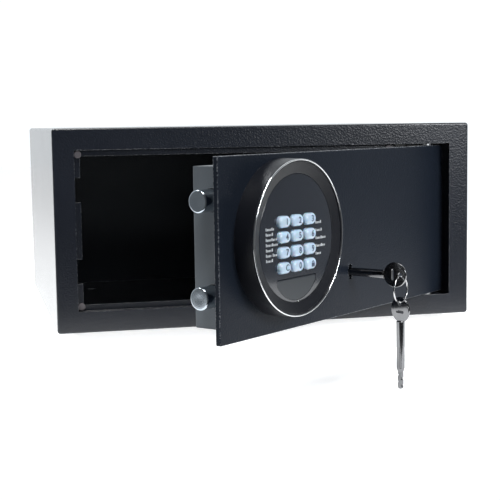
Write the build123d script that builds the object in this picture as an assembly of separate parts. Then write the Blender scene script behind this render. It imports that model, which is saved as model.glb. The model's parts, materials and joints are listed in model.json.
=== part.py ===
"""In room safe with a swinging plate door, motor bolts, a round keypad and an override key.

Millimetres. The origin is the centre of the underside of the base. +X is to the right seen
from the front, +Y runs to the back and +Z is up. The door is drawn shut, with "s" measured
along it from its free edge towards the hinge and "depth" measured back from its front face,
and the finished door pieces are then turned about the hinge to where the door stands open.
"""
import math
import os

from build123d import *

# Body
WIDTH, DEPTH, HEIGHT = 430.0, 370.0, 200.0
SHEET = 2.0
BORDER = 21.0            # front frame, from the outside to the edge of the opening
BODY_ROUND = 3.0
FRONT_ROUND = 1.8
REBATE_DEPTH = 7.0       # from the front face back to the stop lip
LIP = 6.0                # how far the stop lip stands into the opening
LIP_SHEET = 1.5
LIP_END_X = 137.0        # the lip stops short of the hinge
ANCHOR_HOLE_R = 5.0
BASE_ANCHOR_X, BASE_ANCHOR_Y = 150.0, 120.0
BACK_ANCHOR_X, BACK_ANCHOR_Z = 150.0, 172.0

# Door and hinge
GAP = 2.0                # free edge, top and bottom of the door to the opening
PLATE = 4.5
PIVOT_X = 171.0
PIVOT_DEPTH = 8.0
PIN_R = 3.0
PIN_CLEARANCE = 0.05
EAR = 2.0                # thickness of the hinge ears and of the tabs they stand on
WASHER = 1.7
DOOR_OPEN_DEG = 40.0     # where the door stands

# Lock box on the back of the door
BOX_S = (21.0, 321.0)
BOX_HALF_HEIGHT = 68.0
BOX_DEPTH = 43.0
BOX_SHEET = 1.2

# Bolts and the carriage that moves them
BOLT_R = 9.5
BOLT_TIP_S = 2.0
BOLT_LENGTH = 50.0
BOLT_DEPTH = 23.0        # axis, behind the front face of the door
BOLT_RISE = 40.0         # above and below the middle
BOLT_CLEARANCE = 0.05
MODULE = 1.0
KEY_TEETH, MOTOR_TEETH = 20, 14
BOLT_THROW = math.pi / 2 * MODULE * KEY_TEETH / 2   # a quarter turn of the key
CARRIAGE = 3.0
WEB_DEPTH = 33.0         # front of the carriage's flat web
WEB_END_S = 228.0
TOOTH_PLAY = 0.30

# Override lock
LOCK_S, LOCK_Z = 200.0, 62.8
LOCK_R = 12.0
PLUG_R = 7.0
PLUG_CLEARANCE = 0.05
KEYWAY_R = 4.4
LOBE_R, LOBE_RISE = 2.5, 5.0

# Keys
HEAD_R, HEAD_T = 11.6, 2.3
BARREL_R, BARREL_L = 4.0, 23.2
FLUTED_R, FLUTED_L = 3.85, 19.5
TAPER_L = 3.7
BIT_W, BIT_T, BIT_L = 5.1, 2.6, 15.6
KEY_HOLE_R, KEY_HOLE_RISE = 2.3, 5.6
KEY_STANDS_OUT = 48.0    # middle of the head, in front of the door
RING_R, RING_WIRE_R = 12.0, 0.95
HANG_CLEARANCE = 0.3
SPARE_TWIST_DEG = -18.0

# Keypad
PAD_S, PAD_Z = 88.0, 105.0
PAD_R, PAD_BASE_R = 67.2, 68.0
PANEL_R, PANEL_T, PANEL_FRONT = 55.0, 3.0, 16.0
RING_FRONT = 20.3
KEY_W, KEY_H, KEY_CORNER = 16.5, 10.0, 4.4
KEY_PITCH_S, KEY_PITCH_Z = 19.4, 12.95
KEY_BLOCK_S, KEY_TOP_ROW_Z = 86.0, 120.2
KEY_FRONT, KEY_BACK = 20.0, 11.7
KEY_GAP = 0.35
KEY_NAMES = ("key_1", "key_2", "key_3", "key_4", "key_5", "key_6",
             "key_7", "key_8", "key_9", "key_clear", "key_0", "key_lock")

# Service flap
FLAP_S, FLAP_W = 87.0, 58.0
FLAP_PIVOT_Z, FLAP_PIVOT_FRONT = 70.1, 14.6
FLAP_SIDE_Z, FLAP_BOTTOM_Z = 66.5, 51.8
FLAP_BACK, FLAP_FRONT = 14.45, 15.85
FLAP_BARREL_R, FLAP_PIN_R = 1.25, 0.6

FRONT_Y = -DEPTH / 2
MIDDLE_Z = HEIGHT / 2
OPENING_X = WIDTH / 2 - BORDER
DOOR_LEFT_X = -OPENING_X + GAP
DOOR_RIGHT_X = OPENING_X - GAP
DOOR_Z = (BORDER + GAP, HEIGHT - BORDER - GAP)
BOLT_HEIGHTS = (MIDDLE_Z - BOLT_RISE, MIDDLE_Z + BOLT_RISE)
HINGE = Axis((PIVOT_X, FRONT_Y + PIVOT_DEPTH, 0), (0, 0, 1))


def block(x, y, z):
    """A box between two positions on each axis."""
    middle = [(a + b) / 2 for a, b in (x, y, z)]
    return Pos(*middle) * Box(x[1] - x[0], y[1] - y[0], z[1] - z[0])


def door_block(s, depth, z):
    """A box on the shut door."""
    return block([DOOR_LEFT_X + v for v in s], [FRONT_Y + v for v in depth], z)


def body_block(x, depth, z):
    """A box on the body, placed by its depth behind the front face."""
    return block(x, [FRONT_Y + v for v in depth], z)


def upright(x, depth, z, radius):
    """A vertical cylinder between two heights."""
    return Pos(x, FRONT_Y + depth, (z[0] + z[1]) / 2) * Cylinder(radius, z[1] - z[0])


def door_facing(s, z):
    """The frame of a door piece whose local +Z points out of the door, at the front face."""
    return Plane(origin=(DOOR_LEFT_X + s, FRONT_Y, z), x_dir=(1, 0, 0), z_dir=(0, -1, 0)).location


def out_rod(s, z, depth, radius):
    """A cylinder square to the door between two depths."""
    length = depth[1] - depth[0]
    return door_facing(s, z) * Pos(0, 0, -(depth[0] + depth[1]) / 2) * Cylinder(radius, length)


def along_rod(s, depth, z, radius):
    """A cylinder along the door between two places s."""
    middle = (DOOR_LEFT_X + (s[0] + s[1]) / 2, FRONT_Y + depth, z)
    return Pos(*middle) * Rot(0, 90, 0) * Cylinder(radius, s[1] - s[0])


def hex_prism(across, height):
    """A hexagon bar standing on the local origin."""
    return extrude(RegularPolygon(across / 2, 6, major_radius=False), height)


def both_ends(piece):
    """A piece at the bottom of the body and its mirror image at the top."""
    return [piece, mirror(piece, Plane.XY.offset(MIDDLE_Z))]


def open_door(pieces):
    """Pieces turned about the hinge, from the shut door to the open one."""
    return [piece.rotate(HINGE, DOOR_OPEN_DEG) for piece in pieces]


# ---------------------------------------------------------------- body

def body_shell():
    """One folded steel case with its front frame, open at the back."""
    case = body_block((-WIDTH / 2, WIDTH / 2), (0, DEPTH), (0, HEIGHT))
    case = fillet(case.edges().filter_by(Axis.Y), BODY_ROUND)
    case = fillet(case.faces().sort_by(Axis.Y)[0].edges(), FRONT_ROUND)
    inside = body_block((-WIDTH / 2 + SHEET, WIDTH / 2 - SHEET), (SHEET, DEPTH + SHEET),
                        (SHEET, HEIGHT - SHEET))
    inside = fillet(inside.edges().filter_by(Axis.Y), BODY_ROUND - SHEET)
    opening = body_block((-OPENING_X, OPENING_X), (-SHEET, 2 * SHEET), (BORDER, HEIGHT - BORDER))
    opening = fillet(opening.edges().filter_by(Axis.Y), 1.0)
    case = case - inside - opening
    for x in (-BASE_ANCHOR_X, BASE_ANCHOR_X):
        for y in (-BASE_ANCHOR_Y, BASE_ANCHOR_Y):
            case -= Pos(x, y, SHEET / 2) * Cylinder(ANCHOR_HOLE_R, 2 * SHEET)
    return [case]


def back_panel():
    """The back of the case, let in between the sides, with its wall anchor holes near the top."""
    half = WIDTH / 2 - SHEET
    panel = body_block((-half, half), (DEPTH - SHEET, DEPTH), (SHEET, HEIGHT - SHEET))
    panel = fillet(panel.edges().filter_by(Axis.Y), BODY_ROUND - SHEET)
    for x in (-BACK_ANCHOR_X, BACK_ANCHOR_X):
        hole = Rot(90, 0, 0) * Cylinder(ANCHOR_HOLE_R, 2 * SHEET)
        panel -= Pos(x, DEPTH / 2 - SHEET / 2, BACK_ANCHOR_Z) * hole
    return [panel]


def stop_frame():
    """The rebate behind the front frame, with the lip that the door shuts against."""
    outer_x = -OPENING_X - LIP_SHEET
    lip_front, lip_back = REBATE_DEPTH, REBATE_DEPTH + LIP_SHEET
    frame = body_block((outer_x, LIP_END_X), (SHEET, lip_back),
                       (BORDER - LIP_SHEET, HEIGHT - BORDER + LIP_SHEET))
    frame -= body_block((-OPENING_X, LIP_END_X + 1), (0, lip_front), (BORDER, HEIGHT - BORDER))
    frame -= body_block((-OPENING_X + LIP, LIP_END_X + 1), (0, lip_back + 1),
                        (BORDER + LIP, HEIGHT - BORDER - LIP))
    notch = BOLT_R + 2.5
    for z in BOLT_HEIGHTS:
        frame -= body_block((-OPENING_X, -OPENING_X + LIP + 1), (lip_front - 1, lip_back + 1),
                            (z - notch, z + notch))
    return [frame]


def corner_bumpers():
    """Four rubber buttons on the stop lip."""
    buttons = []
    inset = 3.8
    for x in (-OPENING_X + inset, LIP_END_X - 2 * inset):
        for z in (BORDER + inset + 0.4, HEIGHT - BORDER - inset - 0.4):
            button = Pos(x, FRONT_Y + REBATE_DEPTH - 1, z) * Rot(90, 0, 0) * Cylinder(3.7, 2)
            buttons.append(fillet(button.edges().sort_by(Axis.Y)[0], 0.8))
    return buttons


def strike_angle():
    """The steel angle inside the free side that the thrown bolts pass through."""
    outer = -WIDTH / 2 + SHEET
    face_x = (-WIDTH / 2 + 13.5, -WIDTH / 2 + 15.0)
    angle = body_block(face_x, (9, 42), (40, HEIGHT - 40))
    angle += body_block((outer, face_x[1]), (40.5, 42), (40, HEIGHT - 40))
    for z in BOLT_HEIGHTS:
        angle -= Pos(face_x[0], FRONT_Y + BOLT_DEPTH, z) * Rot(0, 90, 0) * Cylinder(BOLT_R + 0.8, 10)
    return [angle]


def pivot_tabs():
    """The two tabs behind the front frame that the hinge pins turn in."""
    x = (PIVOT_X - 16, PIVOT_X + 16)
    tab = body_block(x, (SHEET, 16), (BORDER - EAR, BORDER))
    tab += body_block(x, (SHEET, SHEET + 2), (6, BORDER - EAR))
    tab -= upright(PIVOT_X, PIVOT_DEPTH, (0, BORDER + 1), PIN_R + PIN_CLEARANCE)
    return both_ends(tab)


def hinge_washers():
    """The washers that carry the door's ears off the tabs."""
    span = (BORDER, BORDER + WASHER)
    washer = upright(PIVOT_X, PIVOT_DEPTH, span, 6.0) - upright(PIVOT_X, PIVOT_DEPTH, span, PIN_R + 0.1)
    return both_ends(washer)


# ---------------------------------------------------------------- door

def door_plate():
    """The flat steel door with its keyhole, cable hole and the holes of the keypad screws."""
    plate = block((DOOR_LEFT_X, DOOR_RIGHT_X), (FRONT_Y, FRONT_Y + PLATE), DOOR_Z)
    plate = fillet(plate.edges().filter_by(Axis.Y), 1.5)
    plate = fillet(plate.faces().sort_by(Axis.Y)[0].edges(), 0.7)
    through = (-1, PLATE + 1)
    plate -= out_rod(LOCK_S, LOCK_Z, through, KEYWAY_R)
    for z in (LOCK_Z - LOBE_RISE, LOCK_Z + LOBE_RISE):
        plate -= out_rod(LOCK_S, z, through, LOBE_R)
    plate -= out_rod(PAD_S, PAD_Z, through, 8)
    for s, z in pad_screw_places():
        plate -= out_rod(s, z, through, 1.6)
    return [plate]


def hinge_ears():
    """The brackets on the back of the door that hold the hinge pins."""
    low = DOOR_Z[0]
    x = (PIVOT_X - 30, PIVOT_X + 8)
    ear = body_block(x, (PLATE, PIVOT_DEPTH + 7), (low, low + EAR))
    ear = fillet(ear.edges().filter_by(Axis.Z).sort_by(Axis.Y)[-2:], 4)
    ear += body_block((x[0], x[0] + 22), (PLATE, PLATE + 2), (low, low + 22))
    ear -= upright(PIVOT_X, PIVOT_DEPTH, (low - 1, low + EAR + 1), PIN_R)
    return both_ends(ear)


def hinge_pins():
    """Headed pins fixed in the ears, turning in the tabs."""
    head = (DOOR_Z[0] + EAR, DOOR_Z[0] + EAR + 1.5)
    pin = upright(PIVOT_X, PIVOT_DEPTH, (BORDER - EAR - 2, head[0]), PIN_R)
    pin += upright(PIVOT_X, PIVOT_DEPTH, head, PIN_R + 0.4)
    return both_ends(pin)


def lock_box():
    """The folded cover over the works, with holes for the bolts and the battery hatch."""
    z = (MIDDLE_Z - BOX_HALF_HEIGHT, MIDDLE_Z + BOX_HALF_HEIGHT)
    cover = door_block(BOX_S, (PLATE, BOX_DEPTH), z)
    cover = fillet(cover.faces().sort_by(Axis.Y)[-1].edges(), 1.6)
    cover -= door_block((BOX_S[0] + BOX_SHEET, BOX_S[1] - BOX_SHEET), (0, BOX_DEPTH - BOX_SHEET),
                        (z[0] + BOX_SHEET, z[1] - BOX_SHEET))
    for height in BOLT_HEIGHTS:
        cover -= along_rod((BOX_S[0] - 1, BOX_S[0] + 5), BOLT_DEPTH, height, BOLT_R + 0.7)
    cover -= door_block((238, 303), (BOX_DEPTH - 5, BOX_DEPTH + 1), (82, 158))
    for s, height in pillar_places():
        cover -= out_rod(s, height, (BOX_DEPTH - 5, BOX_DEPTH + 1), 1.6)
    return [cover]


def pillar_places():
    """Where the cover's pillars stand, as (s, z)."""
    inset = 9.0
    ends = (BOX_S[0] + 16 + inset, BOX_S[1] - inset)
    heights = (MIDDLE_Z - BOX_HALF_HEIGHT + inset, MIDDLE_Z + BOX_HALF_HEIGHT - inset)
    return [(s, z) for s in ends for z in heights]


def cover_pillars():
    """Threaded pillars on the back of the door that the cover screws into."""
    pillars = []
    for s, z in pillar_places():
        pillar = out_rod(s, z, (PLATE, BOX_DEPTH - BOX_SHEET), 4.0)
        pillars.append(pillar - out_rod(s, z, (BOX_DEPTH - 12, BOX_DEPTH), 1.6))
    return pillars


def cover_screws():
    """Pan head screws through the back of the cover."""
    screws = []
    for s, z in pillar_places():
        head = out_rod(s, z, (BOX_DEPTH, BOX_DEPTH + 1.8), 3.4)
        head = fillet(head.edges().sort_by(Axis.Y)[-1], 0.9)
        head -= door_block((s - 2.6, s + 2.6), (BOX_DEPTH + 1.1, BOX_DEPTH + 2), (z - 0.4, z + 0.4))
        screws.append(head + out_rod(s, z, (BOX_DEPTH - 9, BOX_DEPTH), 1.6))
    return screws


def bolt_guides():
    """Two bored blocks inside the cover that the bolts slide in."""
    guides = []
    for z in BOLT_HEIGHTS:
        guide = door_block((BOX_S[0] + BOX_SHEET, 34), (PLATE, 37), (z - 14, z + 14))
        guides.append(guide - along_rod((10, 40), BOLT_DEPTH, z, BOLT_R + BOLT_CLEARANCE))
    return guides


def guide_studs():
    """Two shouldered studs that the carriage's slots run on."""
    studs = []
    web_back = WEB_DEPTH + CARRIAGE
    for s in SLOT_S:
        stud = out_rod(s, SLOT_Z, (PLATE, WEB_DEPTH - 0.4), 5.0)
        stud += out_rod(s, SLOT_Z, (WEB_DEPTH - 0.4, web_back + 0.4), 3.0)
        studs.append(stud + out_rod(s, SLOT_Z, (web_back + 0.4, web_back + 2.2), 5.0))
    return studs


def gear_motor():
    """The small gear motor that throws the bolts, with its shaft bore."""
    motor = out_rod(MOTOR_S, MOTOR_Z, (8, 30), 8.0)
    motor += out_rod(MOTOR_S, MOTOR_Z, (6.5, 8), 4.0)
    return [motor - out_rod(MOTOR_S, MOTOR_Z, (23, 31), 1.55)]


def motor_saddle():
    """The moulded block that holds the motor on the back of the door."""
    saddle = door_block((MOTOR_S - 12, MOTOR_S + 12), (PLATE, 16), (MOTOR_Z - 11, MOTOR_Z + 11))
    return [saddle - out_rod(MOTOR_S, MOTOR_Z, (PLATE, 17), 8.0)]


def lock_cylinder():
    """The fixed housing of the override lock, with a flange on the back of the door."""
    body = out_rod(LOCK_S, LOCK_Z, (PLATE, 30), LOCK_R)
    body += out_rod(LOCK_S, LOCK_Z, (PLATE, PLATE + 2.5), LOCK_R + 3)
    return [body - out_rod(LOCK_S, LOCK_Z, (0, 31), PLUG_R + PLUG_CLEARANCE)]


def battery_case():
    """The moulded tray that holds the cells, open towards the hatch."""
    tray = door_block((240, 302), (14, 33), (85, 155))
    for z in CELL_HEIGHTS:
        tray -= along_rod((244.5, 297.5), CELL_DEPTH, z, CELL_R + 0.2)
        tray -= door_block((244.5, 297.5), (CELL_DEPTH, 34), (z - CELL_R - 0.2, z + CELL_R + 0.2))
    tray += [out_rod(s, z, (PLATE, 14), 3.5) for s in (247, 295) for z in (92, 148)]
    return [tray]


def batteries():
    """Four round cells, lying alternately."""
    cells = []
    for i, z in enumerate(CELL_HEIGHTS):
        cell = along_rod((245.5, 295), CELL_DEPTH, z, CELL_R)
        nub = (295, 296.3) if i % 2 else (244.7, 245.5)
        cells.append(cell + along_rod(nub, CELL_DEPTH, z, 2.6))
    return cells


def battery_hatch():
    """The cover over the battery opening on the back of the lock box."""
    hatch = door_block((233, 308), (BOX_DEPTH, BOX_DEPTH + BOX_SHEET), (77, 163))
    hatch = fillet(hatch.edges().filter_by(Axis.Y), 3)
    hatch -= [door_block((s, s + 1.6), (BOX_DEPTH + 0.6, BOX_DEPTH + 2), (112, 128)) for s in (290, 294, 298)]
    return [hatch]


# ---------------------------------------------------------------- keypad

def pad_screw_places():
    """Where the keypad is screwed on from inside the door, as (s, z)."""
    turns = [math.radians(a) for a in (0, 120, 240)]
    return [(PAD_S + 59.5 * math.cos(a), PAD_Z + 59.5 * math.sin(a)) for a in turns]


def key_places():
    """The middle of each key, row by row from the top left, as (s, z)."""
    return [(KEY_BLOCK_S + (i % 3 - 1) * KEY_PITCH_S, KEY_TOP_ROW_Z - i // 3 * KEY_PITCH_Z)
            for i in range(len(KEY_NAMES))]


def turned_piece(profile):
    """A ring or drum turned about the keypad's middle, from (radius, height) points."""
    outline = Plane.XZ * make_face(Polyline(*profile, close=True))
    return revolve(outline, Axis.Z)


def keypad_housing():
    """The round drum on the door, with a bevel down to the seat of the panel."""
    drum = turned_piece([(PAD_BASE_R, 0), (PAD_R, 18.2), (64.7, 18.2), (64.7, 18.8), (PANEL_R + 0.2, 16.0),
                         (PANEL_R + 0.2, 13.0), (52.5, 13.0), (52.5, 11.4), (57, 11.4), (64.4, 15.2),
                         (65.4, 0)])
    drum = door_facing(PAD_S, PAD_Z) * drum
    for s, z in pad_screw_places():
        drum += out_rod(s, z, (-13.2, 0), 4.5) - out_rod(s, z, (-10, 1), 1.6)
    return [drum]


def chrome_ring():
    """The bright bezel round the face of the keypad."""
    ring = turned_piece([(64.8, 18.2), (67.4, 18.2), (67.4, RING_FRONT), (64.8, RING_FRONT)])
    ring = fillet(ring.edges().group_by(Axis.Z)[-1], 0.9)
    return [door_facing(PAD_S, PAD_Z) * ring]


def flap_outline(grow):
    """The D of the flap with its straight edge up, widened all round by grow."""
    half, top = FLAP_W / 2 + grow, FLAP_PIVOT_Z - PAD_Z
    side, low = FLAP_SIDE_Z - PAD_Z - grow / 2, FLAP_BOTTOM_Z - PAD_Z - grow
    middle = FLAP_S - PAD_S
    edge = Polyline((middle - half, side), (middle - half, top), (middle + half, top), (middle + half, side))
    curve = ThreePointArc((middle + half, side), (middle, low), (middle - half, side))
    return make_face([edge, curve])


def keypad_panel():
    """The round face with an opening for each key and the flap's recess."""
    face = Pos(0, 0, PANEL_FRONT - PANEL_T / 2) * Cylinder(PANEL_R, PANEL_T)
    face = fillet(face.edges().sort_by(Axis.Z)[-1], 0.5)
    opening = RectangleRounded(KEY_W + 2 * KEY_GAP, KEY_H + 2 * KEY_GAP, KEY_CORNER + KEY_GAP)
    for s, z in key_places():
        face -= Pos(s - PAD_S, z - PAD_Z, PANEL_FRONT - 2 * PANEL_T) * extrude(opening, 3 * PANEL_T)
    face -= Pos(0, 0, FLAP_BACK - 0.35) * extrude(flap_outline(0.35), PANEL_T)
    face = door_facing(PAD_S, PAD_Z) * face
    slot = FLAP_BARREL_R + 0.35
    ends = (FLAP_S - FLAP_W / 2, FLAP_S + FLAP_W / 2)
    face -= door_block((ends[0] - 0.35, ends[1] + 0.35), (-20, 0), (FLAP_PIVOT_Z - slot, FLAP_PIVOT_Z + slot))
    face -= along_rod((ends[0] - 3, ends[1] + 3), -FLAP_PIVOT_FRONT, FLAP_PIVOT_Z, FLAP_PIN_R + 0.05)
    face -= door_block(SOCKET_S, (-PANEL_FRONT, 0), SOCKET_Z)
    return [face]


def keypad_key(s, z):
    """One key cap with its retaining flange."""
    cap = Pos(0, 0, KEY_BACK) * extrude(RectangleRounded(KEY_W, KEY_H, KEY_CORNER), KEY_FRONT - KEY_BACK)
    cap = fillet(cap.edges().group_by(Axis.Z)[-1], 1.1)
    cap += Pos(0, 0, KEY_BACK) * extrude(RectangleRounded(KEY_W + 1.4, KEY_H + 1.4, KEY_CORNER), 0.9)
    return door_facing(s, z) * cap


def key_mat():
    """The rubber mat of contacts under the keys."""
    rows = 3 * KEY_PITCH_Z
    s, z = (KEY_BLOCK_S - 30, KEY_BLOCK_S + 30), (KEY_TOP_ROW_Z - rows - 3.5, KEY_TOP_ROW_Z + 7)
    return [door_block(s, (-10.3, -8.9), z)]


def circuit_board():
    """The round board behind the keys."""
    return [out_rod(PAD_S, PAD_Z, (-8.9, -7.3), 50)]


def board_pillars():
    """Three spacers that carry the board off the door."""
    turns = [math.radians(a) for a in (60, 180, 300)]
    return [out_rod(PAD_S + 44 * math.cos(a), PAD_Z + 44 * math.sin(a), (-7.3, 0), 3.0) for a in turns]


def display_module():
    """The display behind the dark upper half of the panel."""
    return [door_block((PAD_S - 25, PAD_S + 25), (-12.6, -8.9), (130, 149))]


def service_socket():
    """The service connector under the flap."""
    socket = door_block((SOCKET_S[0] + 0.2, SOCKET_S[1] - 0.2), (-13.9, -8.9),
                        (SOCKET_Z[0] + 0.2, SOCKET_Z[1] - 0.2))
    return [socket - door_block((78.5, 95.5), (-14, -11), (59.4, 62.6))]


def keypad_screws():
    """Screws from inside the door into the keypad's drum."""
    return [out_rod(s, z, (-8.5, PLATE), 1.6) + out_rod(s, z, (PLATE, PLATE + 2), 3.4)
            for s, z in pad_screw_places()]


def flap_screw():
    """The small bright screw below the flap."""
    head = door_facing(FLAP_S + 1.5, FLAP_BOTTOM_Z - 1.2) * Pos(0, 0, PANEL_FRONT + 0.3) * Cylinder(0.75, 0.6)
    return [fillet(head.edges().sort_by(Axis.Y)[0], 0.25)]


def service_flap():
    """The D shaped flap with its hinge barrel along the straight edge."""
    flap = Pos(0, 0, FLAP_BACK) * extrude(flap_outline(0), FLAP_FRONT - FLAP_BACK)
    flap = door_facing(PAD_S, PAD_Z) * flap
    ends = (FLAP_S - FLAP_W / 2, FLAP_S + FLAP_W / 2)
    flap += along_rod(ends, -FLAP_PIVOT_FRONT, FLAP_PIVOT_Z, FLAP_BARREL_R)
    return [flap - along_rod(ends, -FLAP_PIVOT_FRONT, FLAP_PIVOT_Z, FLAP_PIN_R)]


def flap_pin():
    """The wire pin that the flap turns on."""
    ends = (FLAP_S - FLAP_W / 2 - 2.4, FLAP_S + FLAP_W / 2 + 2.4)
    return [along_rod(ends, -FLAP_PIVOT_FRONT, FLAP_PIVOT_Z, FLAP_PIN_R)]


# ---------------------------------------------------------------- bolt work

def tooth_width(radius, pitch_r):
    """Width of an involute tooth of 20 degrees at a radius, measured as an arc."""
    def involute(angle):
        return math.tan(angle) - angle

    base_r = pitch_r * math.cos(math.radians(20))
    at = math.acos(min(1.0, base_r / radius))
    half = math.pi / 4 * MODULE / pitch_r + involute(math.radians(20)) - involute(at)
    return 2 * radius * half - TOOTH_PLAY / 2


def pinion(teeth, bore_r):
    """A pinion standing on the local origin, with one tooth pointing along local +Y."""
    pitch_r = MODULE * teeth / 2
    root_r, tip_r = pitch_r - 1.25 * MODULE, pitch_r + 0.9 * MODULE
    points = []
    for i in range(teeth):
        middle = math.pi / 2 + 2 * math.pi * i / teeth
        for side in (-1, 1):
            radii = (root_r, pitch_r, tip_r)[::-side]
            for r in radii:
                half = tooth_width(max(r, pitch_r * 0.94), pitch_r) / 2 / r
                points.append((r * math.cos(middle + side * half), r * math.sin(middle + side * half)))
    gear = extrude(make_face(Polyline(*points, close=True)), CARRIAGE)
    return gear - Pos(0, 0, CARRIAGE / 2) * Cylinder(bore_r, 2 * CARRIAGE)


def rack_teeth(first_s, last_s, space_s, pitch_z, up):
    """Straight teeth on an edge of the carriage, with a space at space_s."""
    step = math.pi * MODULE
    lean = math.tan(math.radians(20))
    half = step / 4 - TOOTH_PLAY / 4
    sign = 1 if up else -1
    root, tip = -1.25 * MODULE, 0.9 * MODULE
    teeth = []
    for i in range(math.ceil((first_s - space_s) / step - 0.5), math.floor((last_s - space_s) / step - 0.5) + 1):
        middle = space_s + (i + 0.5) * step
        corners = [(middle + side * (half - h * lean), pitch_z + sign * h)
                   for side, h in ((-1, root), (-1, tip), (1, tip), (1, root))]
        outline = [(DOOR_LEFT_X + s, FRONT_Y + WEB_DEPTH, z) for s, z in corners]
        teeth.append(extrude(make_face(Polyline(*outline, close=True)), CARRIAGE, dir=(0, 1, 0)))
    return teeth


def bolt_carriage():
    """The folded steel slide that joins both bolts, with a rack for the key and one for the motor."""
    web_back = WEB_DEPTH + CARRIAGE
    flange_s = (BOLT_TIP_S + BOLT_LENGTH, BOLT_TIP_S + BOLT_LENGTH + CARRIAGE)
    slide = door_block(flange_s, (12, web_back), (MIDDLE_Z - BOLT_RISE - 13, MIDDLE_Z + BOLT_RISE + 13))
    root = 1.25 * MODULE
    slide += door_block((flange_s[0], WEB_END_S), (WEB_DEPTH, web_back),
                        (KEY_RACK_Z + root, MOTOR_RACK_Z - root))
    reach = 8.0
    slide += rack_teeth(LOCK_S - reach, LOCK_S + BOLT_THROW + reach, LOCK_S, KEY_RACK_Z, False)
    slide += rack_teeth(MOTOR_S - reach, MOTOR_S + BOLT_THROW + reach, MOTOR_S, MOTOR_RACK_Z, True)
    for z in BOLT_HEIGHTS:
        slide -= along_rod((flange_s[0] - 1, flange_s[1] + 1), BOLT_DEPTH, z, 4.0)
    half = 3.3
    for s in SLOT_S:
        slide -= door_block((s, s + BOLT_THROW), (30, 40), (SLOT_Z - half, SLOT_Z + half))
        slide -= [out_rod(end, SLOT_Z, (30, 40), half) for end in (s, s + BOLT_THROW)]
    return [slide]


def round_bolt(z):
    """One locking bolt with its threaded tail."""
    inner = BOLT_TIP_S + BOLT_LENGTH
    bolt = along_rod((BOLT_TIP_S, inner), BOLT_DEPTH, z, BOLT_R)
    bolt = chamfer(bolt.edges().sort_by(Axis.X)[0], 0.9)
    return [bolt + along_rod((inner, inner + CARRIAGE + 5), BOLT_DEPTH, z, 4.0)]


def bolt_nuts():
    """The nuts that hold the bolts on the carriage."""
    nuts = []
    start = DOOR_LEFT_X + BOLT_TIP_S + BOLT_LENGTH + CARRIAGE
    for z in BOLT_HEIGHTS:
        nut = Pos(start, FRONT_Y + BOLT_DEPTH, z) * Rot(0, 90, 0) * hex_prism(13, 4.5)
        nuts.append(nut - along_rod((50, 65), BOLT_DEPTH, z, 4.0))
    return nuts


def motor_pinion():
    """The motor's pinion and shaft, with a tooth down in the rack."""
    gear = door_facing(MOTOR_S, MOTOR_Z) * Pos(0, 0, -WEB_DEPTH - CARRIAGE) * Rot(0, 0, 180) * pinion(MOTOR_TEETH, 1)
    return [gear + out_rod(MOTOR_S, MOTOR_Z, (24, WEB_DEPTH + CARRIAGE), 1.5)]


def key_plug():
    """The plug of the override lock with its keyway and tail."""
    plug = out_rod(LOCK_S, LOCK_Z, (PLATE + 0.3, 30), PLUG_R)
    plug += out_rod(LOCK_S, LOCK_Z, (30, 38), 4.0)
    return [plug - out_rod(LOCK_S, LOCK_Z, (0, 28), BARREL_R + 0.3)]


def key_pinion():
    """The pinion on the plug's tail, with a tooth up in the rack."""
    return [door_facing(LOCK_S, LOCK_Z) * Pos(0, 0, -WEB_DEPTH - CARRIAGE) * pinion(KEY_TEETH, 4.0)]


def plug_nut():
    """The nut that holds the pinion on the plug."""
    nut = door_facing(LOCK_S, LOCK_Z) * Pos(0, 0, -WEB_DEPTH - CARRIAGE - 2) * hex_prism(12, 2)
    return [nut - out_rod(LOCK_S, LOCK_Z, (30, 40), 4.0)]


# ---------------------------------------------------------------- keys and ring

def lock_key():
    """A key hanging down from the middle of its round head, its head facing local Y."""
    head = Rot(90, 0, 0) * Cylinder(HEAD_R, HEAD_T)
    head = fillet(head.edges().filter_by(GeomType.CIRCLE), 0.5)
    head -= Pos(0, 0, KEY_HOLE_RISE) * Rot(90, 0, 0) * Cylinder(KEY_HOLE_R, 2 * HEAD_T)
    head -= Pos(0, 0, -2.1) * Rot(90, 0, 0) * extrude(SlotOverall(10.4, 2.6), 2 * HEAD_T, both=True)
    z = -HEAD_R + 1.0
    barrel_end = -HEAD_R - BARREL_L
    shank = Pos(0, 0, (z + barrel_end) / 2) * Cylinder(BARREL_R, z - barrel_end)
    shank = chamfer(shank.edges().sort_by(Axis.Z)[-1], 0.6)
    fluted_end = barrel_end - FLUTED_L
    fluted = Pos(0, 0, (barrel_end + fluted_end) / 2) * Cylinder(FLUTED_R, FLUTED_L)
    for turn in range(4):
        fluted -= Rot(0, 0, 45 + 90 * turn) * Pos(FLUTED_R, 0, (barrel_end + fluted_end) / 2) * Cylinder(0.8, FLUTED_L)
    taper = Pos(0, 0, fluted_end - TAPER_L / 2) * Cone(BIT_W / 2, FLUTED_R, TAPER_L)
    bit_top = fluted_end - TAPER_L
    bit = Pos(0, 0, bit_top - BIT_L / 2) * Box(BIT_W, BIT_T, BIT_L)
    bit = chamfer(bit.faces().sort_by(Axis.Z)[0].edges().filter_by(Axis.Y), 1.2)
    for i, (side, r) in enumerate(((1, 1.0), (-1, 1.2), (1, 0.8), (-1, 0.9))):
        place = Pos(side * BIT_W / 2, 0, bit_top - 2.8 - 3.2 * i)
        bit -= place * Rot(90, 0, 0) * Cylinder(r, 2 * BIT_T)
    return head + shank + fluted + taper + bit


def override_key():
    """The key in the lock, its head upright and square to the door."""
    place = Plane(origin=(DOOR_LEFT_X + LOCK_S, FRONT_Y - KEY_STANDS_OUT, LOCK_Z), x_dir=(0, 0, 1), z_dir=(0, -1, 0))
    return [place.location * lock_key()]


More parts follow.
